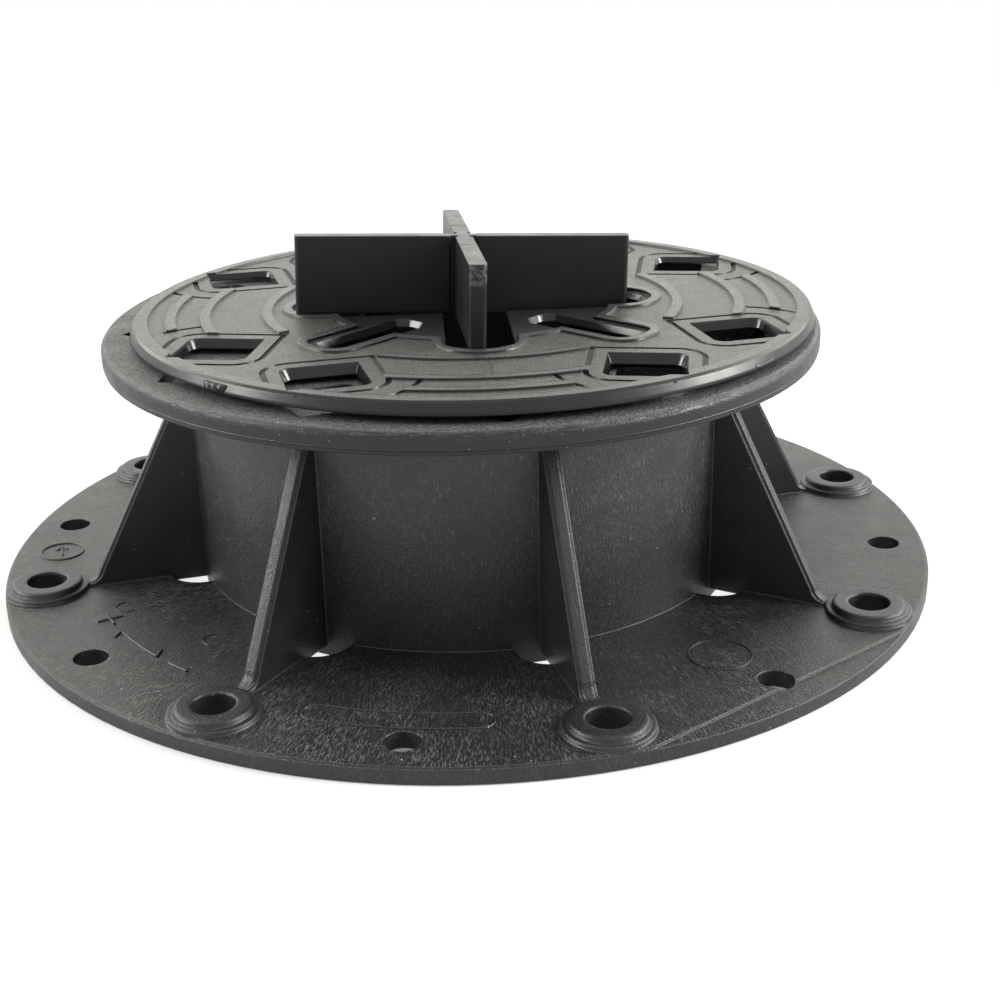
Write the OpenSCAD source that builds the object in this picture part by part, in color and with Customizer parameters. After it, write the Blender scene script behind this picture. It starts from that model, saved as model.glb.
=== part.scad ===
// Adjustable raised floor pedestal, lowered to its stop.
// Origin at the centre of the base's underside, +Z up, base ribs on the X and Y axes and their diagonals.
// The disc and the spacer cross lie free on the head, and the turn and place values say how they lie.

/* [Base plate] */
// Radius of the base plate
plate_r = 100; // [96:1:130]
// Thickness of the base plate
plate_t = 3.2; // [2.5:0.1:5]
// Radius of the circle that carries the bosses and the plain holes
hole_ring_r = 91.3; // [91:0.1:93]
// Depth of the shallow trim recess at one side of the rim
trim_depth = 0.5; // [0:0.1:1]
// Width of the trim recess, from the rim to its straight edge
trim_w = 6; // [3:0.1:7]
// Radius of the drain holes at the foot of each rib
drain_r = 7; // [4:0.5:8]

/* [Bosses and holes] */
// Radius of the holes through the bosses
boss_hole_r = 4.1; // [2.5:0.1:5]
// Radius of the raised pad of a boss
boss_pad_r = 7.2; // [6:0.1:7.8]
// Radius of the low skirt round a boss pad
boss_skirt_r = 8.4; // [8:0.1:8.6]
// Height of a boss above the plate
boss_h = 2.1; // [1:0.1:4]
// Radius of the plain holes between the bosses
plain_hole_r = 3.4; // [2:0.1:4]

/* [Drum and ribs] */
// Outer radius of the drum
drum_r = 58.2; // [54:0.2:60]
// Height of the drum's top above the floor
drum_top = 48.7; // [44:0.1:90]
// Wall of the drum
drum_wall = 2.9; // [2.2:0.1:3.6]
// Number of ribs, and of bosses
rib_count = 8; // [8:4:8]
// Full thickness of a rib
rib_t = 3.3; // [2.5:0.1:5]
// Thickness of a rib's narrower outer edge
rib_edge_t = 1.9; // [1.2:0.1:2.4]
// How far the narrow edge stands out from the full rib
rib_edge_step = 0.6; // [0.2:0.1:1.5]
// Radius of the hollow curve where a rib meets its boss
rib_foot_r = 3.5; // [2:0.5:5]

/* [Screw head] */
// Radius of the head's flange
head_r = 75; // [73:0.5:80]
// Thickness of the head's flange
head_t = 4.4; // [3.6:0.1:7]
// Radius of the rounded upper edge of the flange
head_edge_r = 1.2; // [0.4:0.1:1.6]
// Gap between the flange and the top of the drum when the head is right down
head_gap = 0.3; // [0.2:0.1:1]
// Gap between the tube and the drum, where the thread runs
thread_gap = 1.7; // [1.2:0.1:2]
// Wall of the tube
tube_wall = 3; // [2:0.1:4]
// Length of the tube below the flange
tube_len = 40; // [30:1:44]
// Radius of the opening in the middle of the head
head_bore_r = 27; // [26:0.5:30]
// Number of pockets in the head's top
pocket_count = 12; // [8:1:12]
// Side of a pocket
pocket_side = 15; // [12:0.5:15]
// Distance from the axis to the middle of a pocket
pocket_ring_r = 60.2; // [58:0.1:62]
// Depth of the pockets
pocket_depth = 2.6; // [1:0.1:3]

/* [Slope disc] */
// Radius of the disc's top edge
disc_r = 70.7; // [70:0.1:72]
// Thickness of the disc at its middle
disc_t = 2.2; // [2:0.1:4]
// Fall of the disc's top, in percent
disc_fall = 1; // [0:0.25:1.25]
// How far the disc's lower edge spreads beyond its top edge
disc_flare = 0.6; // [0:0.1:0.8]
// Step up under the disc's rim
rim_undercut = 0.3; // [0.1:0.1:0.5]
// Width of the raised rim
rim_w = 3; // [2:0.1:3.2]
// Height of the ridges, the star and the slot borders above the panels
relief = 0.45; // [0.3:0.05:0.5]
// Depth of the grooves in the panels
groove_d = 0.4; // [0.2:0.05:0.4]
// Height of the seat ring that carries the disc on the head
seat_h = 1.1; // [0.5:0.1:2]
// Side of a window, at the top
window_side = 15.3; // [12:0.1:15.5]
// How far a window's walls close in, on each side, down to the disc's underside
window_draft = 0.9; // [0.2:0.1:1.5]
// Distance from the disc's middle to the middle of a window
window_ring_r = 58.8; // [57:0.1:58.8]
// Angle between a window and the nearest arm slot
window_angle = 29.9; // [29:0.1:31]
// Turn of a window away from standing square on its corner
window_turn = 3.9; // [0:0.1:5]
// Distance from a window to the groove round it
window_border_w = 2.5; // [2:0.1:2.8]
// Width of the grooves
groove_w = 1.1; // [0.6:0.1:1.2]
// Radius of the curved groove that ends the outer panels, about a window's middle
panel_end_r = 17.8; // [16.5:0.1:18.5]
// Width of the ridge that outlines the star round the disc's middle
star_ridge_w = 2; // [1:0.1:2.5]
// Distance from a slot to the ridge of the star
star_gap = 0.8; // [0.4:0.1:1.2]
// Radius of the ridge of the star between the slots, at its inside
star_r = 29; // [27:0.5:30]
// How far a slot's walls close in, on each side, down to the disc's underside
slot_draft = 0.8; // [0.2:0.1:1]
// Width of the slots that take the spacer's arms
arm_slot_w = 11.5; // [10.5:0.1:12]
// Reach of the arm slots from the disc's middle
arm_slot_reach = 36.5; // [36:0.1:38]
// Width of the slots between the arm slots, at the top
side_slot_w = 8.7; // [6:0.1:9]
// Distance from the disc's middle to the near end of these slots, at the top
side_slot_start = 17; // [16:0.1:20]
// Reach of these slots from the disc's middle, at the top
side_slot_reach = 43.5; // [40:0.1:44]
// Turn of the disc about the pedestal's axis
disc_turn = -12.7; // [-45:0.1:45]
// Sideways play taken up by the disc, along the turned disc's own X
disc_shift = 2.4; // [0:0.1:2.6]

/* [Spacer cross] */
// Length of one arm from the cross's middle
arm_len = 34.7; // [34.5:0.1:36]
// Thickness of an arm, which is the joint between slabs
arm_t = 3.5; // [2:0.1:4]
// Height of the cross
cross_h = 16; // [10:0.5:25]
// Play left between an arm and the side of its slot
arm_play = 0.65; // [0.2:0.05:1]
// Thickness of the weak necks where the arms meet
neck_t = 2.3; // [1.5:0.1:2.6]
// Turn of the cross against the disc
cross_turn = 2.2; // [0:0.1:2.4]
// Height of the cross's middle above the head
cross_rise = 2.05; // [1.9:0.05:2.4]
// Lean of the cross, its front arm lying on the disc's border
lean_back = 2.7; // [0:0.1:3]
// Lean of the cross to the right
lean_right = 2.3; // [0:0.1:2.5]

/* [Hidden] */
$fn = 96;
eps = 0.01;
far = 200;                                    // longer than anything that is cut
rib_step = 360 / rib_count;
bore_r = drum_r - drum_wall;                  // bore of the drum, where its thread runs
tube_r = bore_r - thread_gap;
head_z = drum_top + head_gap;                 // underside of the flange
deck_z = head_z + head_t;                     // top of the head
disc_z = deck_z + seat_h;                     // underside of the disc
disc_top = disc_z + disc_t;                   // top of the disc's ridges, at its middle
fall = atan(disc_fall / 100);
rib_foot = hole_ring_r - boss_skirt_r - 2.6;  // where a rib's edge would meet the plate
slot_corner = 2.6;
side_slot_mid = (side_slot_start + side_slot_reach) / 2;
side_slot_len = side_slot_reach - side_slot_start;
star_floor = disc_t - relief - groove_d;      // height of the star's floor above the disc's underside
plastic = "#2b2b2d";

// ---- shapes used by several pieces ----

// a square standing on its corner, sharp towards +X and round at the corners listed by their turn
module diamond(side, corner, rounded = [0, 90, 180]) {
    rotate(45) {
        difference() {
            square(side, center = true);
            for (a = rounded)
                rotate(a) translate([side / 2 - corner, side / 2 - corner]) square(corner + 1);
        }
        for (a = rounded)
            rotate(a) translate([side / 2 - corner, side / 2 - corner]) circle(corner);
    }
}

// a slot along +X with a round far end
module slot2d(from, reach, width) {
    translate([from, -width / 2]) square([reach - width / 2 - from, width]);
    translate([reach - width / 2, 0]) circle(width / 2);
}

// a bar along X with rounded corners, its middle at the origin
module round_bar(length, width, corner) {
    square([length - 2 * corner, width], center = true);
    square([length, width - 2 * corner], center = true);
    for (x = [-1, 1]) for (y = [-1, 1])
        translate([x * (length / 2 - corner), y * (width / 2 - corner)]) circle(corner);
}

module around(count, start = 0)
    for (i = [0 : count - 1]) rotate(start + i * 360 / count) children();

// ---- base ----

module rib_side(inset)
    polygon([
        [bore_r + 1, plate_t - 1],
        [rib_foot + 3 - inset, plate_t - 1],
        [rib_foot + 3 - inset, plate_t + 0.6],
        for (a = [0 : 15 : 75])
            [rib_foot + 3 - inset - rib_foot_r * sin(a) * 0.9, plate_t + 0.6 + rib_foot_r * (1 - cos(a))],
        [drum_r + 0.3 - inset, drum_top - 0.4],
        [bore_r + 1, drum_top - 0.4]
    ]);

module rib() {
    rotate([90, 0, 0]) linear_extrude(rib_t, center = true) rib_side(rib_edge_step);
    rotate([90, 0, 0]) linear_extrude(rib_edge_t, center = true) rib_side(0);
}

module boss() {
    cylinder(h = plate_t + boss_h * 0.45, r = boss_skirt_r);
    rotate_extrude() {
        square([boss_pad_r, plate_t + boss_h - 0.7]);
        square([boss_pad_r - 0.7, plate_t + boss_h]);
        translate([boss_pad_r - 0.7, plate_t + boss_h - 0.7]) circle(0.7);
    }
}

module base() {
    color(plastic) difference() {
        union() {
            difference() {
                union() {
                    cylinder(h = plate_t - 0.4, r = plate_r);
                    cylinder(h = plate_t, r = plate_r - 0.4);
                }
                around(rib_count) translate([drum_r + 0.8, 0, -1]) cylinder(h = plate_t + 2, r = drain_r);
                rotate(292.5) translate([plate_r - trim_w, -far / 2, plate_t - trim_depth]) cube([far, far, 5]);
            }
            cylinder(h = drum_top, r = drum_r);
            around(rib_count) rib();
            around(rib_count) translate([hole_ring_r, 0, 0]) boss();
        }
        translate([0, 0, -1]) cylinder(h = drum_top + 2, r = bore_r);
        around(rib_count) translate([hole_ring_r, 0, -1]) cylinder(h = plate_t + boss_h + 2, r = boss_hole_r);
        around(rib_count, rib_step / 2) translate([hole_ring_r, 0, -1])
            cylinder(h = plate_t + 2, r = plain_hole_r);
    }
}

// ---- screw head ----

module screw_head() {
    color(plastic) difference() {
        rotate_extrude() {
            translate([head_bore_r, head_z + 1]) square([20, head_t - 1]);
            translate([tube_r - tube_wall - 6, head_z]) square([tube_wall + 6, head_t]);
            translate([tube_r - tube_wall, head_z - tube_len]) square([tube_wall, tube_len + 1]);
            translate([tube_r - 1, head_z]) square([head_r - tube_r + 1 - head_edge_r, head_t]);
            translate([head_r - head_edge_r - eps, head_z + 0.9])
                square([head_edge_r + eps, head_t - 0.9 - head_edge_r]);
            translate([head_r - head_edge_r - eps, head_z]) square([head_edge_r - 0.25, 1]);
            translate([head_r - head_edge_r, deck_z - head_edge_r]) circle(head_edge_r);
        }
        around(pocket_count, -8.8) translate([pocket_ring_r, 0, deck_z - pocket_depth])
            linear_extrude(pocket_depth + 1) diamond(pocket_side, 2.5);
    }
}

// ---- slope disc ----

// places its children at the middle of each of the eight windows, +X towards the sharp outer corner
module at_windows()
    around(4) for (side = [0, 1])
        mirror([0, side]) rotate(window_angle) translate([window_ring_r, 0]) rotate(window_turn) children();

module window2d(grow = 0) diamond(window_side + 2 * grow, 2.5 + grow, [0, 180]);

// the opening of one window, closing in downwards through the height that the disc takes up
module window_cut() {
    bottom_side = window_side - 2 * window_draft;
    over = 1;                               // how far the cut runs past the disc, up and down
    grow = 2 * window_draft / disc_t;       // change of the side for each millimetre of height
    low = bottom_side - over * grow;
    high = window_side + over * grow;
    translate([0, 0, disc_z - over]) linear_extrude(disc_t + 2 * over, scale = high / low)
        diamond(low, 2, [0, 180], $fn = 32);
}

module arm_slots(grow = 0) around(4) slot2d(0, arm_slot_reach + grow, arm_slot_w + 2 * grow);

module side_slots(grow = 0)
    around(4, 45) translate([side_slot_mid, 0])
        round_bar(side_slot_len + 2 * grow, side_slot_w + 2 * grow, slot_corner + grow);

// cuts a bar that is length by width at the star's floor, closes in down to the disc's underside
// and goes straight down from there
module bar_cut(length, width, corner) {
    low = [length - 2 * slot_draft, width - 2 * slot_draft];
    rise = disc_t + 1;
    grow = 2 * slot_draft * rise / star_floor;
    translate([0, 0, disc_z]) linear_extrude(rise, scale = [1 + grow / low.x, 1 + grow / low.y], slices = 1)
        round_bar(low.x, low.y, corner, $fn = 32);
    translate([0, 0, deck_z - 3]) linear_extrude(seat_h + 3 + eps) round_bar(low.x, low.y, corner, $fn = 32);
}

module slot_cuts() {
    for (a = [0, 90]) rotate(a) bar_cut(2 * arm_slot_reach, arm_slot_w + 2 * slot_draft, 4.5);
    around(4, 45) translate([side_slot_mid, 0]) bar_cut(side_slot_len, side_slot_w, slot_corner);
}

// the star: its outline grown by the ridge when outer is 1, and its floor when outer is 0
module star2d(outer) {
    ridge = outer * star_ridge_w;
    circle(star_r + ridge);
    arm_slots(slot_draft + star_gap + ridge);
    side_slots(star_gap + ridge);
}

module ring2d(outer, inner)
    difference() {
        circle(outer);
        circle(inner);
    }

module sector2d(half_angle)
    around(4) polygon([[0, 0], [far, -far * tan(half_angle)], [far, far * tan(half_angle)]]);

// ridges between the panels and round the star
module raised()
    difference() {
        union() {
            difference() {
                star2d(1);
                star2d(0);
            }
            intersection() {
                union() {
                    ring2d(44.3, 42.1);
                    ring2d(57.1, 54.9);
                    difference() {
                        ring2d(64.2, 62);
                        at_windows() circle(panel_end_r);
                    }
                }
                sector2d(27);
            }
        }
        at_windows() window2d(window_border_w);
    }

module grooves() {
    star2d(0);
    at_windows() difference() {
        window2d(window_border_w + groove_w);
        window2d(window_border_w);
    }
    intersection() {
        at_windows() ring2d(panel_end_r + groove_w / 2, panel_end_r - groove_w / 2);
        ring2d(disc_r - rim_w, 56);
        sector2d(18.5);
    }
}

// the disc with its top face at z = 0, thicker underneath than needed
module disc_blank() {
    panel = disc_r - rim_w;
    difference() {
        rotate_extrude() {
            translate([0, -5]) square([panel + 1, 5 - relief]);
            polygon([
                [panel, -5], [disc_r + disc_flare, -5], [disc_r + disc_flare, -1.9],
                [disc_r, -0.5], [disc_r - 0.5, 0], [panel, 0]
            ]);
        }
        translate([0, 0, -relief - groove_d]) linear_extrude(2) intersection() {
            grooves();
            circle(panel);
        }
    }
    translate([0, 0, -relief - 0.5]) linear_extrude(relief + 0.5) raised();
}

module slope_disc() {
    color(plastic) rotate(disc_turn) translate([disc_shift, 0, 0]) difference() {
        union() {
            // the blank is tipped by the fall and cut level underneath
            difference() {
                translate([0, 0, disc_top]) rotate([-fall, 0, 0]) disc_blank();
                translate([0, 0, disc_z - 9]) cylinder(h = 9, r = disc_r + 3);
                translate([0, 0, disc_z - 9]) difference() {
                    cylinder(h = 9 + rim_undercut, r = disc_r + 3);
                    cylinder(h = 9 + rim_undercut, r = disc_r - 1.4);
                }
            }
            translate([0, 0, deck_z]) difference() {
                cylinder(h = seat_h + 0.5, r = 46);
                translate([0, 0, -1]) cylinder(h = seat_h + 3, r = 43.4);
            }
            translate([0, 0, deck_z - 2]) difference() {
                cylinder(h = seat_h + 2.5, r = head_bore_r - 3.4);
                translate([0, 0, -1]) cylinder(h = seat_h + 5, r = head_bore_r - 6);
            }
        }
        at_windows() window_cut();
        slot_cuts();
    }
}

// ---- spacer cross ----

module arm() {
    translate([arm_len - 1, 0, 0]) for (s = [-1, 1])
        translate([0, s * (arm_t / 2 - 1), 0]) cylinder(h = cross_h, r = 1);
    translate([2.8, -arm_t / 2, 0]) cube([arm_len - 3.8, arm_t, cross_h]);
    translate([arm_len - 2, 1 - arm_t / 2, 0]) cube([2, arm_t - 2, cross_h]);
    translate([0, -neck_t / 2, 0]) cube([4, neck_t, cross_h]);
}

module spacer_cross() {
    color(plastic) rotate(disc_turn) translate([0.1, arm_play - (arm_slot_w - arm_t) / 2, deck_z + cross_rise])
        rotate([-lean_back, lean_right, cross_turn]) around(4) arm();
}

base();
screw_head();
slope_disc();
spacer_cross();
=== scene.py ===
import math

import bmesh
import bpy
from mathutils import Matrix, Vector


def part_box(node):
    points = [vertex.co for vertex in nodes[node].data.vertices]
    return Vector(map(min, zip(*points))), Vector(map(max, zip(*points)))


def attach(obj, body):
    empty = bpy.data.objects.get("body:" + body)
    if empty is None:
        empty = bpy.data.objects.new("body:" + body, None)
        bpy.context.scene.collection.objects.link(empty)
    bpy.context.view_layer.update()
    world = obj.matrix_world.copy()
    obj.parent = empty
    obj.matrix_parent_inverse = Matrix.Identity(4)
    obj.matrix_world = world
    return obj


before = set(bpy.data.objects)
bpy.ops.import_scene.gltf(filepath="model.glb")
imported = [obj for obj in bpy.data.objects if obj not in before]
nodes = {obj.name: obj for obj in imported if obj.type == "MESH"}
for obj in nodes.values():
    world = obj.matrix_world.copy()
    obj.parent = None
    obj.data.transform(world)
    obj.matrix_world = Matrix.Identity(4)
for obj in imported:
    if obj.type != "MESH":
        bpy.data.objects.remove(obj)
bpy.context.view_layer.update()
MM = 0.001


# ---- base ----
# One injection moulding in carbon-black polypropylene: plate, drum, ribs and bosses.
# The mould was dressed by hand with a coarse stone, which left dense short strokes on the plate and the drum.

class Graph:
    """A short way to write a node tree: each call adds one node and returns its first output."""

    def __init__(self, tree):
        self.tree = tree

    def node(self, kind, inputs=None, **settings):
        n = self.tree.nodes.new(kind)
        for key, value in settings.items():
            setattr(n, key, value)
        for key, value in (inputs or {}).items():
            if isinstance(value, bpy.types.NodeSocket):
                self.tree.links.new(value, n.inputs[key])
            else:
                n.inputs[key].default_value = value
        return n

    def math(self, operation, a, b=0.0):
        return self.node("ShaderNodeMath", {0: a, 1: b}, operation=operation).outputs[0]

    def times(self, *values):
        product = values[0]
        for value in values[1:]:
            product = self.math("MULTIPLY", product, value)
        return product

    def most(self, *values):
        highest = values[0]
        for value in values[1:]:
            highest = self.math("MAXIMUM", highest, value)
        return highest

    def vector(self, operation, a, b=(0, 0, 0)):
        n = self.node("ShaderNodeVectorMath", {0: a, 1: b}, operation=operation)
        return n.outputs["Value" if operation in ("LENGTH", "DISTANCE", "DOT_PRODUCT") else 0]

    def scaled(self, vector, factors):
        return self.vector("MULTIPLY", vector, factors)

    def parts(self, vector):
        return self.node("ShaderNodeSeparateXYZ", {0: vector}).outputs

    def turned(self, vector, angle):
        inputs = {"Vector": vector, "Angle": angle}
        return self.node("ShaderNodeVectorRotate", inputs, rotation_type="Z_AXIS").outputs[0]

    def noise(self, vector, scale, detail=2.0, roughness=0.5):
        inputs = {"Vector": vector, "Scale": scale, "Detail": detail, "Roughness": roughness}
        return self.node("ShaderNodeTexNoise", inputs).outputs[0]

    def without(self, mask):
        """The rest of a mask."""
        return self.math("SUBTRACT", 1.0, mask)

    def ramp(self, value, low, high, to_low=0.0, to_high=1.0):
        inputs = {"Value": value, 1: low, 2: high, 3: to_low, 4: to_high}
        return self.node("ShaderNodeMapRange", inputs, interpolation_type="SMOOTHSTEP").outputs[0]

    def specks(self, place, spacing, size, share):
        """Small separate dots, one in each cell that a share of the cells keeps."""
        cells = self.node("ShaderNodeTexVoronoi", {"Vector": place, "Scale": 1 / spacing}).outputs
        kept = self.ramp(self.parts(cells["Color"])[0], 1 - share, 1.02 - share)
        return self.math("MULTIPLY", kept, self.ramp(cells["Distance"], size / spacing, 0.5 * size / spacing))

    def mix(self, factor, a, b):
        return self.node("ShaderNodeMix", {0: factor, 6: a, 7: b}, data_type="RGBA").outputs[2]

    def blend(self, factor, a, b):
        return self.node("ShaderNodeMix", {0: factor, 2: a, 3: b}, data_type="FLOAT").outputs[0]


def grey(value, warm=0.0):
    return (value * (1 + warm), value, value * (1 - warm), 1)


def black(value):
    """Carbon black, which leans a little to violet."""
    return (value, value * 0.95, value * 1.1, 1)


def start_plastic(name, edge_round):
    """A new material with its graph, its place in millimetres and a normal that rounds its edges."""
    material = bpy.data.materials.new(name)
    material.use_nodes = True
    material.node_tree.nodes.clear()
    g = Graph(material.node_tree)
    place = g.scaled(g.node("ShaderNodeTexCoord").outputs["Object"], (1000, 1000, 1000))
    normal = g.node("ShaderNodeBevel", {"Radius": edge_round * MM}, samples=8).outputs[0]
    return material, g, place, normal


def face_normal(g):
    return g.node("ShaderNodeNewGeometry").outputs["Normal"]


def worn_and_lit_edges(g, normal):
    """A mask of the rounded edges, which handling rubs and along which a pale line is painted as a highlight.
    """
    bend = g.without(g.vector("DOT_PRODUCT", normal, face_normal(g)))
    return g.ramp(bend, 0.015, 0.2)


def two_sizes_of_specks(g, place, small, large, share):
    """Pale specks, partly dust and filler and partly painted glints. A size is a spacing and a width, share
    is how many small ones stay.
    """
    return g.most(g.specks(place, *small, share), g.specks(place, *large, 0.3))


def end_plastic(g, colour, roughness, height, depth, normal, specular=0.5):
    """Closes the graph with grain as bump on the rounded normal, and plain plastic gloss."""
    relief = {"Height": height, "Distance": depth * MM, "Strength": 1.0, "Normal": normal}
    bump = g.node("ShaderNodeBump", relief).outputs[0]
    finish = {"Base Color": colour, "Roughness": roughness, "Normal": bump, "Specular IOR Level": specular}
    shader = g.node("ShaderNodeBsdfPrincipled", finish)
    g.node("ShaderNodeOutputMaterial", {"Surface": shader.outputs[0]})


def paint(name, material):
    nodes[name].data.materials.clear()
    nodes[name].data.materials.append(material)


boss_ring_r = 91.3                   # radius of the circle on which the bosses stand
boss_foot_r = 9.0                    # radius of a boss at its foot
boss_step = math.pi / 4              # angle from one boss to the next
base_edge, boss_edge = 0.5, 1.05     # how far the edges of the base and of its bosses are rounded
to_the_right = (0.961, -0.276, 0)    # square to the middle of the front
lean_middle = 22.0                   # where the drum's strokes stand upright, measured to the right
base_black, base_pale, base_speck = black(0.0095), grey(0.18, 0.08), grey(0.4)


def boss_mask(g, place, radius):
    """Folds the eight bosses onto one and marks it."""
    x, y, z = g.parts(place)
    turn = g.math("DIVIDE", g.math("ARCTAN2", y, x), boss_step)
    off = g.math("MULTIPLY", g.math("SUBTRACT", turn, g.math("ROUND", turn)), boss_step)
    along, aside = g.times(radius, g.math("COSINE", off)), g.times(radius, g.math("SINE", off))
    folded = g.node("ShaderNodeCombineXYZ", {0: along, 1: aside}).outputs[0]
    return g.ramp(g.vector("DISTANCE", folded, (boss_ring_r, 0, 0)), boss_foot_r, boss_foot_r - 0.5)


def drum_strokes(g, place, across, wall, patch):
    """Fine strokes that climb the wall, leaning one way on its left and the other on its right."""
    z = g.parts(place)[2]
    lean = g.math("MULTIPLY", g.math("SUBTRACT", across, lean_middle), -0.00016)
    leaning = g.turned(place, g.math("MULTIPLY", g.math("MULTIPLY", z, lean), -1.0))
    stroke = g.noise(g.scaled(leaning, (1, 1, 0.2)), 4.3, 2, 0.6)
    # painted reflection: the strokes grow stronger towards the drum's mouth, where the wall mirrors the white
    # floor
    painted_top_gain = g.ramp(z, 6, 40, 0.3, 1.0)
    return g.times(g.ramp(stroke, 0.48, 0.7), g.ramp(patch, 0.35, 0.62, 0.45, 1.0), painted_top_gain, wall)


def plate_strokes(g, outward, radius, patch, boss):
    """The same strokes, run out along the radius and finer."""
    spoke = g.scaled(outward, (82, 82, 82))
    run = g.node("ShaderNodeCombineXYZ", {2: g.math("MULTIPLY", radius, 0.13)}).outputs[0]
    stroke = g.noise(g.vector("ADD", spoke, run), 4.8, 2, 0.55)
    return g.times(g.ramp(stroke, 0.5, 0.66), patch, g.without(boss))


def base_plastic():
    material, g, place, normal = start_plastic("base_plastic", base_edge)
    z = g.parts(place)[2]
    radius = g.vector("LENGTH", g.scaled(place, (1, 1, 0)))
    outward = g.vector("NORMALIZE", g.scaled(place, (1, 1, 0)))
    across = g.vector("DOT_PRODUCT", place, to_the_right)
    boss = boss_mask(g, place, radius)
    g.tree.links.new(g.blend(boss, base_edge * MM, boss_edge * MM), normal.node.inputs["Radius"])
    edge = worn_and_lit_edges(g, normal)
    # flat faces look up, walls look out from the axis, slopes are the ribs' edges
    face = face_normal(g)
    up = g.parts(face)[2]
    flat = g.ramp(up, 0.7, 0.95)
    facing_out = g.math("ABSOLUTE", g.vector("DOT_PRODUCT", face, outward))
    wall = g.times(g.ramp(facing_out, 0.55, 0.85), g.ramp(up, 0.3, 0.15))
    slope = g.times(g.ramp(up, 0.2, 0.35), g.without(flat))
    # strokes
    drum_patch = g.noise(g.scaled(place, (1, 1, 1.4)), 0.11, 3, 0.6)
    plate_patch = g.ramp(g.noise(place, 0.07, 3, 0.6), 0.38, 0.62, 0.4, 1.0)
    drum_stroke = drum_strokes(g, place, across, wall, drum_patch)
    stroke = g.blend(flat, drum_stroke, plate_strokes(g, outward, radius, plate_patch, boss))
    strength = g.blend(flat, 0.5, g.ramp(across, -58, -12, 0.7, 0.34))
    # painted reflection: the drum is painted paler and warmer towards its mouth, where its wall mirrors the
    # white floor beyond the plate
    painted_top_reflection = g.ramp(z, 34, 47, 0.0, 0.22)
    painted_drum_reflection = g.times(wall, g.math("ADD", g.times(g.ramp(z, 12, 44), drum_patch), painted_top_reflection))
    mottle = g.ramp(g.noise(place, 2.1, 2, 0.6), 0.47, 0.62)
    nick = g.ramp(g.noise(place, 1.3, 3, 0.7), 0.5, 0.68)
    # colour: pale strokes, nicks that handling rubs into the edges, and a thin painted highlight along every
    # edge
    light = g.most(g.times(stroke, strength), g.times(edge, nick, 0.35), g.times(edge, 0.08))
    soft = g.math("ADD", g.times(painted_drum_reflection, 0.17), g.times(mottle, flat, plate_patch, 0.06))
    colour = g.mix(g.math("ADD", light, soft), base_black, base_pale)
    # pale specks: dust and filler, and painted glints
    speck = two_sizes_of_specks(g, place, (2.2, 0.16), (6.0, 0.24), 0.3)
    colour = g.mix(g.times(speck, 0.8), colour, base_speck)
    rough = g.ramp(g.noise(place, 0.12, 3), 0.3, 0.7, 0.36, 0.46)
    rough = g.math("ADD", rough, g.math("MULTIPLY", stroke, 0.1))
    pebble = g.noise(place, 2.5, 2, 0.6)
    coarse = g.most(g.times(flat, 1.2), g.times(wall, 0.8), g.times(slope, 0.8), 0.3)
    height = g.math("ADD", g.math("MULTIPLY", pebble, coarse), g.math("MULTIPLY", stroke, 0.7))
    end_plastic(g, colour, rough, height, 0.13, normal)
    return material


base_finish = base_plastic()
paint("base", base_finish)


# ---- marks on the plate ----
# Thin raised lines left by cuts in the mould: the plus and minus of the height setting with the turning arrow
# between them, an empty outline, an empty dial, and the rings of the ejector pins. All lettering is left off.

def new_tree(name, inputs):
    tree = bpy.data.node_groups.new(name, "GeometryNodeTree")
    for title, kind, value in inputs:
        socket = tree.interface.new_socket(title, in_out="INPUT", socket_type=kind)
        if value is not None:
            socket.default_value = value
    tree.interface.new_socket("Geometry", in_out="OUTPUT", socket_type="NodeSocketGeometry")
    return tree, Graph(tree), tree.nodes.new("NodeGroupInput").outputs


def close_tree(g, geometry, material_socket):
    painted = g.node("GeometryNodeSetMaterial", {"Geometry": geometry, "Material": material_socket})
    whole = g.node("GeometryNodeRealizeInstances", {"Geometry": painted.outputs[0]})
    g.node("NodeGroupOutput", {0: whole.outputs[0]})


def put(name, mesh, body):
    """Places a finished mesh as a piece and lets it ride on its body."""
    piece = bpy.data.objects.new(name, mesh)
    bpy.context.scene.collection.objects.link(piece)
    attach(piece, body)
    return piece


def bake(name, mesh, tree, values, material, body):
    """Runs a geometry tree on a mesh and keeps the plain result."""
    seed = bpy.data.objects.new(name + "_seed", mesh)
    bpy.context.scene.collection.objects.link(seed)
    modifier = seed.modifiers.new("tree", "NODES")
    modifier.node_group = tree
    named = {item.name: item.identifier for item in tree.interface.items_tree if item.in_out == "INPUT"}
    for title, value in dict(values, Material=material).items():
        modifier[named[title]] = value
    shown = seed.evaluated_get(bpy.context.evaluated_depsgraph_get())
    result = bpy.data.meshes.new_from_object(shown)
    seed.modifiers.remove(modifier)
    bpy.data.objects.remove(seed)
    result.name = name
    return put(name, result, body)


def raised_line_tree():
    """Lays a low rounded ridge along every edge chain of a mesh."""
    tree, g, given = new_tree("raised_line", [
        ("Geometry", "NodeSocketGeometry", None), ("Width", "NodeSocketFloat", 0.001),
        ("Height", "NodeSocketFloat", 0.0003), ("Material", "NodeSocketMaterial", None)])
    path = g.node("GeometryNodeMeshToCurve", {"Mesh": given["Geometry"]}).outputs[0]
    path = g.node("GeometryNodeSetCurveNormal", {"Curve": path}, mode="Z_UP").outputs[0]
    ring = g.node("GeometryNodeCurvePrimitiveCircle", {"Resolution": 10, "Radius": 1.0}).outputs[0]
    half_width = g.math("MULTIPLY", given["Width"], 0.5)
    size = g.node("ShaderNodeCombineXYZ", {0: given["Height"], 1: half_width, 2: 1.0}).outputs[0]
    profile = g.node("GeometryNodeTransform", {"Geometry": ring, "Scale": size}).outputs[0]
    sweep = {"Curve": path, "Profile Curve": profile, "Fill Caps": True}
    close_tree(g, g.node("GeometryNodeCurveToMesh", sweep).outputs[0], given["Material"])
    return tree


raised_line = raised_line_tree()


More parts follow.
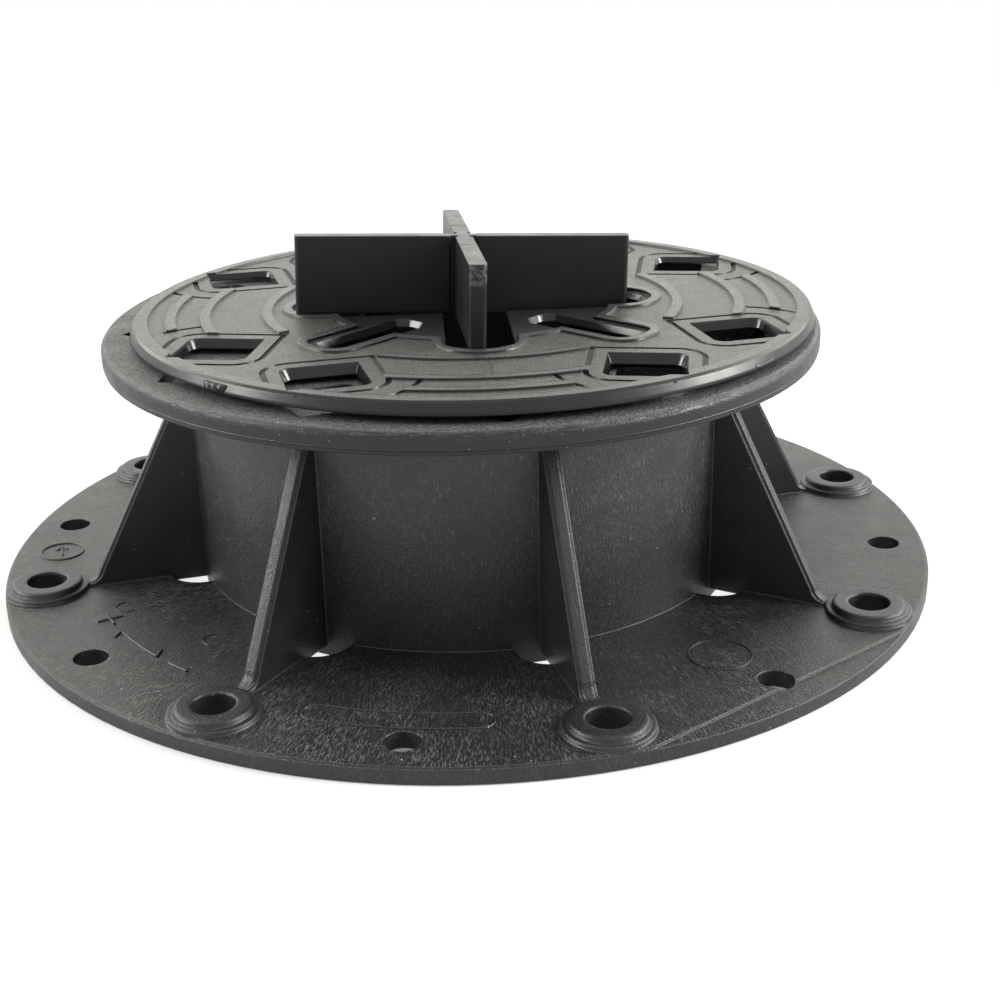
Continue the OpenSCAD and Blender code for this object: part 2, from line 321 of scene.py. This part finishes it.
def chains(name, lines, lift=0.0):
    """Edge chains from lists of points in millimetres; a chain whose ends meet is closed."""
    points, edges = [], []
    for line in lines:
        closed = line[0] == line[-1]
        body = line[:-1] if closed else line
        start = len(points)
        points += [Vector((p[0], p[1], p[2] if len(p) > 2 else lift)) * MM for p in body]
        edges += [(start + i, start + i + 1) for i in range(len(body) - 1)]
        if closed:
            edges.append((len(points) - 1, start))
    mesh = bpy.data.meshes.new(name)
    mesh.from_pydata(points, edges, [])
    return mesh


def polar(radius, degrees):
    return (radius * math.cos(math.radians(degrees)), radius * math.sin(math.radians(degrees)))


def arc(middle, radius, start, end, count=32):
    line = []
    for i in range(count + 1):
        x, y = polar(radius, start + (end - start) * i / count)
        line.append((middle[0] + x, middle[1] + y))
    if abs(end - start) == 360:
        line[-1] = line[0]
    return line


plate_top = 3.2          # top face of the plate
sign_r = 82.0            # radius on which the height signs stand
sign_half = 2.6          # half the length of a plus or minus stroke
sign_turn = 1.9          # the same half, as a turn in degrees
plus_at, minus_at = -166.6, -147.2
arrow_from, arrow_to = -162.0, -151.8
hook_out, hook_turn = 2.1, 1.2     # how far an arrow's hook stands off its line, and its turn
signs = [
    [polar(sign_r, plus_at - sign_turn), polar(sign_r, plus_at + sign_turn)],
    [polar(sign_r - sign_half, plus_at), polar(sign_r + sign_half, plus_at)],
    [polar(sign_r, minus_at - sign_turn), polar(sign_r, minus_at + sign_turn)],
    [polar(sign_r + hook_out, arrow_from + hook_turn), polar(sign_r, arrow_from)],
    [polar(sign_r, a) for a in (arrow_from, arrow_from + 3.4, arrow_to - 3.4, arrow_to)],
    [polar(sign_r - hook_out, arrow_to - hook_turn), polar(sign_r, arrow_to)],
]
bake("height_signs", chains("height_signs", signs, plate_top), raised_line,
     {"Width": 0.75 * MM, "Height": 0.32 * MM}, base_finish, "base")

outline_in, outline_out = 81.6, 87.0      # radii of the empty outline
outline_from, outline_to = -124.0, -104.0
outline_mid, outline_half = (outline_in + outline_out) / 2, (outline_out - outline_in) / 2
outline = arc((0, 0), outline_out, outline_from, outline_to, 16)
outline += arc(polar(outline_mid, outline_to), outline_half, outline_to, outline_to + 180, 12)[1:-1]
outline += arc((0, 0), outline_in, outline_to, outline_from, 16)
far_end = polar(outline_mid, outline_from)
outline += arc(far_end, outline_half, outline_from + 180, outline_from + 360, 12)[1:-1]
outline.append(outline[0])
dial_at, dial_r = polar(89.9, 167.4), 4.6
hand = 2.2                                # half the length of the dial's arrow
dial_tip = (dial_at[0], dial_at[1] + hand)
dial = [arc(dial_at, dial_r, 0, 360), [(dial_at[0], dial_at[1] - hand), dial_tip]]
dial += [[(dial_at[0] + side, dial_at[1] + 1.0), dial_tip] for side in (-1.2, 1.2)]
bake("plate_outlines", chains("plate_outlines", [outline] + dial, plate_top), raised_line,
     {"Width": 0.6 * MM, "Height": 0.22 * MM}, base_finish, "base")

pin_r, small_pin_r = 6.0, 2.4      # the large ejector pin left a full ring, the small ones part rings
rings = [arc(polar(78.0, -68.0), pin_r, 0, 360)]
for radius, at, start, end in ((77.3, -169.4, 100, 300), (70.2, -150.0, 60, 250), (77.3, -101.3, 150, 330)):
    rings.append(arc(polar(radius, at), small_pin_r, start, end))
bake("pin_rings", chains("pin_rings", rings, plate_top), raised_line,
     {"Width": 0.4 * MM, "Height": 0.1 * MM}, base_finish, "base")


# ---- screw thread ----
# A coarse right-hand thread of one start: an outside ridge on the head's tube and a short inside ridge at the
# drum's mouth that carries it. Both belong to their mouldings, and half a pitch lies between them.
def between_rows(g, row, first, last):
    """Marks the rows of the strip from the first to the last."""
    started = g.ramp(row, first - 0.6, first - 0.4)
    return g.times(started, g.without(g.ramp(row, last + 0.4, last + 0.6)))


def thread_tree():
    """A strip: each column is one step along the turn, each row one corner of the ridge's outline."""
    tree, g, given = new_tree("thread", [
        ("Geometry", "NodeSocketGeometry", None), ("Wall Radius", "NodeSocketFloat", 0.0536),
        ("Rise", "NodeSocketFloat", 0.0015), ("Pitch", "NodeSocketFloat", 0.006),
        ("Turns", "NodeSocketFloat", 3.0), ("Start Height", "NodeSocketFloat", 0.01),
        ("Start Turn", "NodeSocketFloat", 0.0), ("Root Width", "NodeSocketFloat", 0.003),
        ("Crest Width", "NodeSocketFloat", 0.0014), ("Sink", "NodeSocketFloat", 0.0004),
        ("Material", "NodeSocketMaterial", None)])
    columns, rows = 400, 5
    size = {"Size X": 1.0, "Size Y": 1.0, "Vertices X": columns, "Vertices Y": rows}
    strip = g.node("GeometryNodeMeshGrid", size).outputs[0]
    index = g.node("GeometryNodeInputIndex").outputs[0]
    row = g.math("MODULO", index, float(rows))
    along = g.math("DIVIDE", g.math("FLOOR", g.math("DIVIDE", index, float(rows))), columns - 1.0)
    # the first and the last row are the same root corner, so that the strip closes into a bar
    crest = between_rows(g, row, 1, 2)
    upper = between_rows(g, row, 2, 3)
    run_out = g.times(g.ramp(along, 0.0, 0.03, 0.05, 1.0), g.ramp(along, 0.97, 1.0, 1.0, 0.05))
    sunk = g.times(given["Sink"], g.math("SIGN", given["Rise"]), -1.0)
    lift = g.blend(crest, sunk, g.times(given["Rise"], run_out))
    half = g.math("MULTIPLY", g.blend(crest, given["Root Width"], given["Crest Width"]), 0.5)
    side = g.math("SUBTRACT", g.math("MULTIPLY", upper, 2.0), 1.0)
    angle = g.math("ADD", given["Start Turn"], g.times(along, given["Turns"], 2 * math.pi))
    radius = g.math("ADD", given["Wall Radius"], lift)
    climb = g.math("ADD", given["Start Height"], g.times(along, given["Turns"], given["Pitch"]))
    corner = {0: g.times(radius, g.math("COSINE", angle)), 1: g.times(radius, g.math("SINE", angle)),
              2: g.math("ADD", climb, g.math("MULTIPLY", half, side))}
    spot = g.node("ShaderNodeCombineXYZ", corner).outputs[0]
    placed = g.node("GeometryNodeSetPosition", {"Geometry": strip, "Position": spot}).outputs[0]
    whole = g.node("GeometryNodeMergeByDistance", {"Geometry": placed, "Distance": 0.00001}).outputs[0]
    close_tree(g, whole, given["Material"])
    return tree


thread = thread_tree()
pitch = 6.0
thread_start = 11.0            # height at which the head's ridge begins
thread_form = {"Pitch": pitch * MM, "Start Turn": 0.0, "Root Width": 3.0 * MM,
               "Crest Width": 1.4 * MM, "Sink": 0.4 * MM}


def turned_out(mesh):
    """Closes a mesh's open ends and turns its faces outwards."""
    shape = bmesh.new()
    shape.from_mesh(mesh)
    bmesh.ops.holes_fill(shape, edges=[e for e in shape.edges if e.is_boundary])
    bmesh.ops.recalc_face_normals(shape, faces=shape.faces)
    shape.to_mesh(mesh)
    shape.free()


def thread_ridge(name, values, material, body):
    """Winds one ridge and rides it on its body."""
    seed = chains(name, [[(0, 0, 0), (1, 0, 0)]])
    piece = bake(name, seed, thread, dict(values, **thread_form), material, body)
    turned_out(piece.data)


# half a pitch off the head's ridge, so that the two never meet
drum_ridge = {"Wall Radius": 55.3 * MM, "Rise": -1.5 * MM, "Turns": 2.2,
              "Start Height": (thread_start + 3.5 * pitch) * MM}
thread_ridge("drum_thread", drum_ridge, base_finish, "base")


# ---- screw head ----
# A second moulding of the same plastic: a wide flange on a threaded tube. Its rim is scuffed by handling,
# and dust lies on the ledge that the disc leaves open.
rim_r = 74.0                   # where the flange's flat top ends and its rim begins
rim_shoulder = (51.4, 52.6)    # heights between which the rim is scuffed more and more
parting_z = 49.95              # the mould parts at the middle of the rim
head_black, head_pale, head_speck = black(0.012), grey(0.2, 0.02), grey(0.5)


def head_plastic():
    material, g, place, normal = start_plastic("head_plastic", 0.7)
    edge = worn_and_lit_edges(g, normal)
    z = g.parts(place)[2]
    radius = g.vector("LENGTH", g.scaled(place, (1, 1, 0)))
    flat = g.ramp(g.parts(face_normal(g))[2], 0.7, 0.95)
    rim = g.ramp(radius, rim_r, rim_r + 0.6)
    # scratches run round the rim, densest under its top edge
    ringed = g.noise(g.scaled(place, (0.22, 0.22, 3.0)), 1.0, 4, 0.7)
    broken = g.ramp(g.noise(place, 1.6, 3, 0.8), 0.42, 0.58)
    scuff = g.times(g.ramp(ringed, 0.46, 0.62), g.ramp(z, *rim_shoulder), rim, broken)
    dust = g.times(g.ramp(g.noise(place, 3.6, 2, 0.6), 0.58, 0.72), flat)
    mottle = g.ramp(g.noise(place, 1.9, 2, 0.6), 0.4, 0.62, 0.14, 0.5)
    # painted sheen: the upward faces are painted paler, mottled on the ledge and evenly on the rim's flats
    painted_top_sheen = g.times(flat, g.blend(rim, mottle, 0.22))
    # colour: scuffs, dust, a painted highlight along the edges and the painted sheen on the upward faces
    light = g.most(g.times(scuff, 0.24), g.times(dust, 0.45), g.times(edge, 0.12), painted_top_sheen)
    colour = g.mix(light, head_black, head_pale)
    # pale specks: dust and filler, and painted glints
    speck = two_sizes_of_specks(g, place, (1.3, 0.16), (4.0, 0.24), 0.35)
    colour = g.mix(g.times(speck, g.blend(rim, 0.85, 0.35)), colour, head_speck)
    rough = g.ramp(g.noise(place, 0.2, 3), 0.3, 0.7, 0.34, 0.45)
    rough = g.math("ADD", rough, g.math("MULTIPLY", g.most(scuff, flat), 0.16))
    off_parting = g.math("ABSOLUTE", g.math("SUBTRACT", z, parting_z))
    parting = g.times(g.ramp(off_parting, 0.22, 0.02), rim)
    grain = g.math("MULTIPLY", g.noise(place, 2.5, 2, 0.6), g.blend(rim, 2.4, 0.9))
    height = g.math("ADD", grain, g.math("ADD", g.times(parting, 1.4), g.times(scuff, 0.6)))
    end_plastic(g, colour, rough, height, 0.11, normal, 0.4)
    return material


head_finish = head_plastic()
paint("screw_head", head_finish)
head_ridge = {"Wall Radius": 53.6 * MM, "Rise": 1.45 * MM, "Turns": 6.0, "Start Height": thread_start * MM}
thread_ridge("head_thread", head_ridge, head_finish, "head")


# ---- slope disc ----
# The patterned disc that sets the slope: panels with a fine grain between smooth, glossier ridges.
# It lies on the head by its own weight.
disc_level = 56.25             # height of the panels in the middle
disc_fall = (0.0022, 0.00976, 1.0)      # direction square to the panels
disc_middle = (2.34, -0.53, 0)
inside_r = 69.0                # all windows and slots lie within this
disc_edge, ridge_edge = 0.4, 0.75       # how far edges are rounded, below the ridges and on them
panel_dark, panel_pale = grey(0.03, 0.03), grey(0.08, 0.04)
ridge_grey, groove_shade_grey = grey(0.04, 0.03), grey(0.003)
disc_black, disc_speck = black(0.008), grey(0.4)


def disc_plastic():
    material, g, place, normal = start_plastic("disc_plastic", disc_edge)
    level = g.math("SUBTRACT", g.vector("DOT_PRODUCT", place, disc_fall), disc_level)
    ridge = g.ramp(level, 0.15, 0.4)
    g.tree.links.new(g.blend(ridge, disc_edge * MM, ridge_edge * MM), normal.node.inputs["Radius"])
    up = g.parts(face_normal(g))[2]
    flat = g.ramp(up, 0.8, 0.97)
    # the grooves stay dull and are painted near black as painted shade, the walls of the windows and slots
    # polished
    groove = g.times(g.ramp(level, -0.12, -0.3), flat)
    panel = g.times(flat, g.without(ridge), g.without(groove))
    from_middle = g.vector("SUBTRACT", g.scaled(place, (1, 1, 0)), disc_middle)
    inside = g.ramp(g.vector("LENGTH", from_middle), inside_r + 0.5, inside_r - 0.5)
    deep = g.times(g.ramp(level, -0.5, -0.7), inside)
    mottle = g.ramp(g.noise(place, 1.9, 2, 0.6), 0.42, 0.62)
    colour = g.mix(panel, disc_black, g.mix(mottle, panel_dark, panel_pale))
    colour = g.mix(g.times(ridge, flat), colour, ridge_grey)
    # painted shade in the grooves
    colour = g.mix(groove, colour, groove_shade_grey)
    # pale specks: dust and filler, and painted glints
    speck = g.times(two_sizes_of_specks(g, place, (2.4, 0.18), (7.0, 0.28), 0.3), flat)
    colour = g.mix(g.times(speck, 0.8), colour, disc_speck)
    rough = g.ramp(g.noise(place, 0.2, 3), 0.3, 0.7, 0.24, 0.32)
    rough = g.math("ADD", rough, g.math("MULTIPLY", panel, 0.06))
    side = g.without(g.most(inside, g.ramp(up, 0.2, 0.5)))
    rough = g.blend(side, rough, 0.5)
    rough = g.blend(deep, g.blend(groove, rough, 0.6), 0.16)
    grain = g.blend(panel, g.blend(g.times(ridge, flat), 0.03, 0.5), 1.0)
    height = g.math("MULTIPLY", g.noise(place, 2.3, 3, 0.65), grain)
    end_plastic(g, colour, rough, height, 0.34, normal, 0.4)
    return material


disc_finish = disc_plastic()
paint("slope_disc", disc_finish)

disc_turn, disc_shift, disc_edge_r = -12.7, 2.4, 71.3      # turn in degrees, shift off the axis, radius
disc_place = Matrix.Rotation(math.radians(disc_turn), 4, "Z") @ Matrix.Translation((disc_shift, 0, 0))


def on_disc(u, v, lift=0.0):
    """A point on the disc's tilted panels, from the disc's own right and back, in millimetres."""
    point = disc_place @ Vector((u, v, 0))
    point.z = disc_level - 0.01 * v + lift
    return tuple(point)


# thin flash where the windows' sharp corners nearly reach the rim, and the line where the melt met in front
flash = [[on_disc(-34.6, -59.6), on_disc(-34.4, -60.8), on_disc(-34.1, -62.1)],
         [on_disc(33.1, -60.4), on_disc(33.0, -61.6), on_disc(32.8, -62.9)],
         [on_disc(0.9, -45.0), on_disc(1.1, -49.0), on_disc(1.0, -54.0)]]
bake("disc_flash", chains("disc_flash", flash), raised_line,
     {"Width": 0.3 * MM, "Height": 0.14 * MM}, disc_finish, "platform")

lump_sunk = 0.6          # how far a lump's back lies inside the disc's edge


def lump_points(start, end, low, high, depth, torn, columns, rows):
    """Two layers of points: the back one sunk into the disc, the front one bulging and torn."""
    points = []
    for layer in (0, 1):
        for i in range(columns):
            for j in range(rows):
                a, b = i / (columns - 1), j / (rows - 1)
                bulge = min(1.0, 6 * min(a, 1 - a)) * min(1.0, 5 * min(b, 1 - b))
                wave = 0.5 + 0.28 * math.sin(21 * a + 3 * b) + 0.22 * math.sin(11 * b + 9 * a + 1)
                out = depth * bulge * (1 - torn + torn * wave) if layer else -lump_sunk
                x, y = polar(disc_edge_r + out - 0.05, start + (end - start) * a)
                points.append(disc_place @ Vector((x, y, low + (high - low) * b)) * MM)
    return points


def rim_lump(name, start, end, low, high, depth, torn):
    """A patch that stands out from the disc's edge between two directions and two heights."""
    columns, rows = 28, 9

    def at(layer, i, j):
        return layer * columns * rows + i * rows + j

    faces = []
    for i in range(columns - 1):
        for j in range(rows - 1):
            for layer in (0, 1):
                corners = ((i, j), (i + 1, j), (i + 1, j + 1), (i, j + 1))
                faces.append([at(layer, *corner) for corner in corners])
        for j in (0, rows - 1):
            faces.append((at(0, i, j), at(0, i + 1, j), at(1, i + 1, j), at(1, i, j)))
    for j in range(rows - 1):
        for i in (0, columns - 1):
            faces.append((at(0, i, j), at(0, i, j + 1), at(1, i, j + 1), at(1, i, j)))
    mesh = bpy.data.meshes.new(name)
    mesh.from_pydata(lump_points(start, end, low, high, depth, torn, columns, rows), [], faces)
    mesh.materials.append(disc_finish)
    turned_out(mesh)
    mesh.shade_smooth()
    return put(name, mesh, "platform")


# the torn stub where the melt came in, and a small step in the edge across from it
rim_lump("gate_stub", -136.1, -131.4, 55.0, 56.5, 0.85, 0.75)
rim_lump("edge_step", -46.0, -40.6, 54.85, 55.7, 0.3, 0.1)


# ---- spacer cross ----
# The loose cross that sets the joint between slabs, moulded smooth, with snap lines near its middle
# so that arms can be broken off. Its near end is scuffed pale at the top.
near_arm = polar(1, 79.5 - 180) + (0,)      # direction of the arm in front
arm_end = 34.0                 # reach of an arm from the middle
snap_at = 12.0                 # distance of a snap line from the middle
scuffed_from = 68.5            # height above which the near end is scuffed
cross_mid = (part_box("spacer_cross")[0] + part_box("spacer_cross")[1]) * 500
cross_black, cross_pale = black(0.007), grey(0.16)


def cross_plastic():
    material, g, place, normal = start_plastic("cross_plastic", 0.5)
    near = g.vector("DOT_PRODUCT", g.vector("SUBTRACT", place, tuple(cross_mid)), near_arm)
    off_snap = g.math("ABSOLUTE", g.math("SUBTRACT", g.math("ABSOLUTE", near), snap_at))
    groove = g.ramp(off_snap, 0.45, 0.05)
    top = g.ramp(g.parts(place)[2], scuffed_from, scuffed_from + 1.1)
    tip = g.ramp(near, arm_end - 0.6, arm_end + 0.1)
    scuff = g.times(top, tip, g.ramp(g.noise(place, 1.4, 3, 0.7), 0.4, 0.56))
    speck = g.specks(place, 3.4, 0.18, 0.25)
    # colour: a painted highlight along the edges, the scuffed tip and pale specks
    light = g.most(g.times(worn_and_lit_edges(g, normal), 0.3), g.times(scuff, 0.45), g.times(speck, 0.35))
    colour = g.mix(light, cross_black, cross_pale)
    rough = g.ramp(g.noise(place, 0.2, 3), 0.3, 0.7, 0.32, 0.42)
    rough = g.math("ADD", rough, g.math("MULTIPLY", scuff, 0.2))
    grain = g.noise(place, 3.4, 3, 0.7)
    height = g.math("SUBTRACT", g.math("MULTIPLY", grain, 0.3), g.math("MULTIPLY", groove, 6.0))
    end_plastic(g, colour, rough, height, 0.04, normal, 0.3)
    return material


paint("spacer_cross", cross_plastic())


# ---- floor and light ----
# A white sweep and large soft lamps. Camera and glossy rays see the sweep white, and it keeps a faint shadow.
def seen_rays(g):
    path = g.node("ShaderNodeLightPath").outputs
    return g.most(path["Is Camera Ray"], path["Is Glossy Ray"], path["Is Transmission Ray"])


dark_ring_from, dark_ring_to = (74, 80), (98, 103)     # inner and outer border of the ring under the holes
dark_middle = (40, 46)                                 # border of the floor inside the tube
white_from, white_to = 300, 900                        # the sweep turns fully white over this stretch


def sweep_material():
    material = bpy.data.materials.new("white_sweep")
    material.use_nodes = True
    material.node_tree.nodes.clear()
    g = Graph(material.node_tree)
    # the floor inside the tube and the ring under the plate's holes lie in shadow
    spot = g.vector("LENGTH", g.scaled(g.node("ShaderNodeTexCoord").outputs["Object"], (1000, 1000, 0)))
    ring = g.times(g.ramp(spot, *dark_ring_from), g.ramp(spot, *reversed(dark_ring_to)))
    shade = g.most(ring, g.ramp(spot, *reversed(dark_middle)))
    seen = g.times(seen_rays(g), g.without(shade))
    diffuse = g.node("ShaderNodeBsdfDiffuse", {"Color": (0.85, 0.85, 0.85, 1)}).outputs[0]
    glow = g.node("ShaderNodeEmission", {"Color": (1, 1, 1, 1), "Strength": 1.0}).outputs[0]
    far = g.ramp(spot, white_from, white_to, 0.8, 1.0)
    mixed = g.node("ShaderNodeMixShader", {0: g.times(seen, far), 1: diffuse, 2: glow}).outputs[0]
    g.node("ShaderNodeOutputMaterial", {"Surface": mixed})
    return material


half = 6.0                     # half the floor's side, in metres
floor_mesh = bpy.data.meshes.new("floor")
corners = [(-half, -half, 0), (half, -half, 0), (half, half, 0), (-half, half, 0)]
floor_mesh.from_pydata(corners, [], [(0, 1, 2, 3)])
floor = bpy.data.objects.new("floor", floor_mesh)
bpy.context.scene.collection.objects.link(floor)
floor_mesh.materials.append(sweep_material())
floor.location.z = -0.2 * MM

world = bpy.data.worlds.new("white_room")
bpy.context.scene.world = world
world.use_nodes = True
world.node_tree.nodes.clear()
g = Graph(world.node_tree)
strength = g.ramp(seen_rays(g), 0, 1, 0.6, 1.0)
seen_directly = g.node("ShaderNodeLightPath").outputs["Is Camera Ray"]
tint = g.mix(seen_directly, (1.0, 0.992, 0.95, 1), (1, 1, 1, 1))
background = g.node("ShaderNodeBackground", {"Color": tint, "Strength": strength}).outputs[0]
g.node("ShaderNodeOutputWorld", {"Surface": background})

turn = math.radians(-16.01)       # the camera stands between two ribs, turned a little about the axis
tilt = math.radians(90 - 21.69)
roll = math.radians(-1.264)

lamp_distance = 1.4
aim = Vector((0, 0, 0.03))
# each lamp: azimuth from the camera's right, elevation, size, power
for name, azimuth, elevation, size, power in (
        ("lamp_left", 185, 25, 0.6, 18), ("lamp_right", -5, 25, 0.6, 30),
        ("lamp_back_left", 140, 30, 0.9, 9), ("lamp_back_right", 40, 30, 0.9, 8.6),
        ("lamp_back", 90, 28, 0.9, 4), ("lamp_top", 90, 84, 1.2, 2)):
    lamp = bpy.data.lights.new(name, "AREA")
    lamp.size = size
    lamp.energy = power
    lamp.color = (1.0, 0.985, 0.945)
    holder = bpy.data.objects.new(name, lamp)
    bpy.context.scene.collection.objects.link(holder)
    a, e = math.radians(azimuth) + turn, math.radians(elevation)
    way = Vector((math.cos(a) * math.cos(e), math.sin(a) * math.cos(e), math.sin(e)))
    holder.location = lamp_distance * way
    holder.rotation_euler = (aim - holder.location).to_track_quat("-Z", "Y").to_euler()

camera_data = bpy.data.cameras.new("camera")
camera_data.lens = 56.73
camera_data.sensor_width = 36
camera = bpy.data.objects.new("camera", camera_data)
bpy.context.scene.collection.objects.link(camera)
across, back, up = 7.288 * MM, -325.982 * MM, 140.758 * MM
camera.matrix_world = (Matrix.Rotation(turn, 4, "Z") @ Matrix.Translation((across, back, up))
                       @ Matrix.Rotation(tilt, 4, "X") @ Matrix.Rotation(roll, 4, "Z"))
bpy.context.scene.camera = camera
bpy.context.scene.view_settings.view_transform = "Standard"
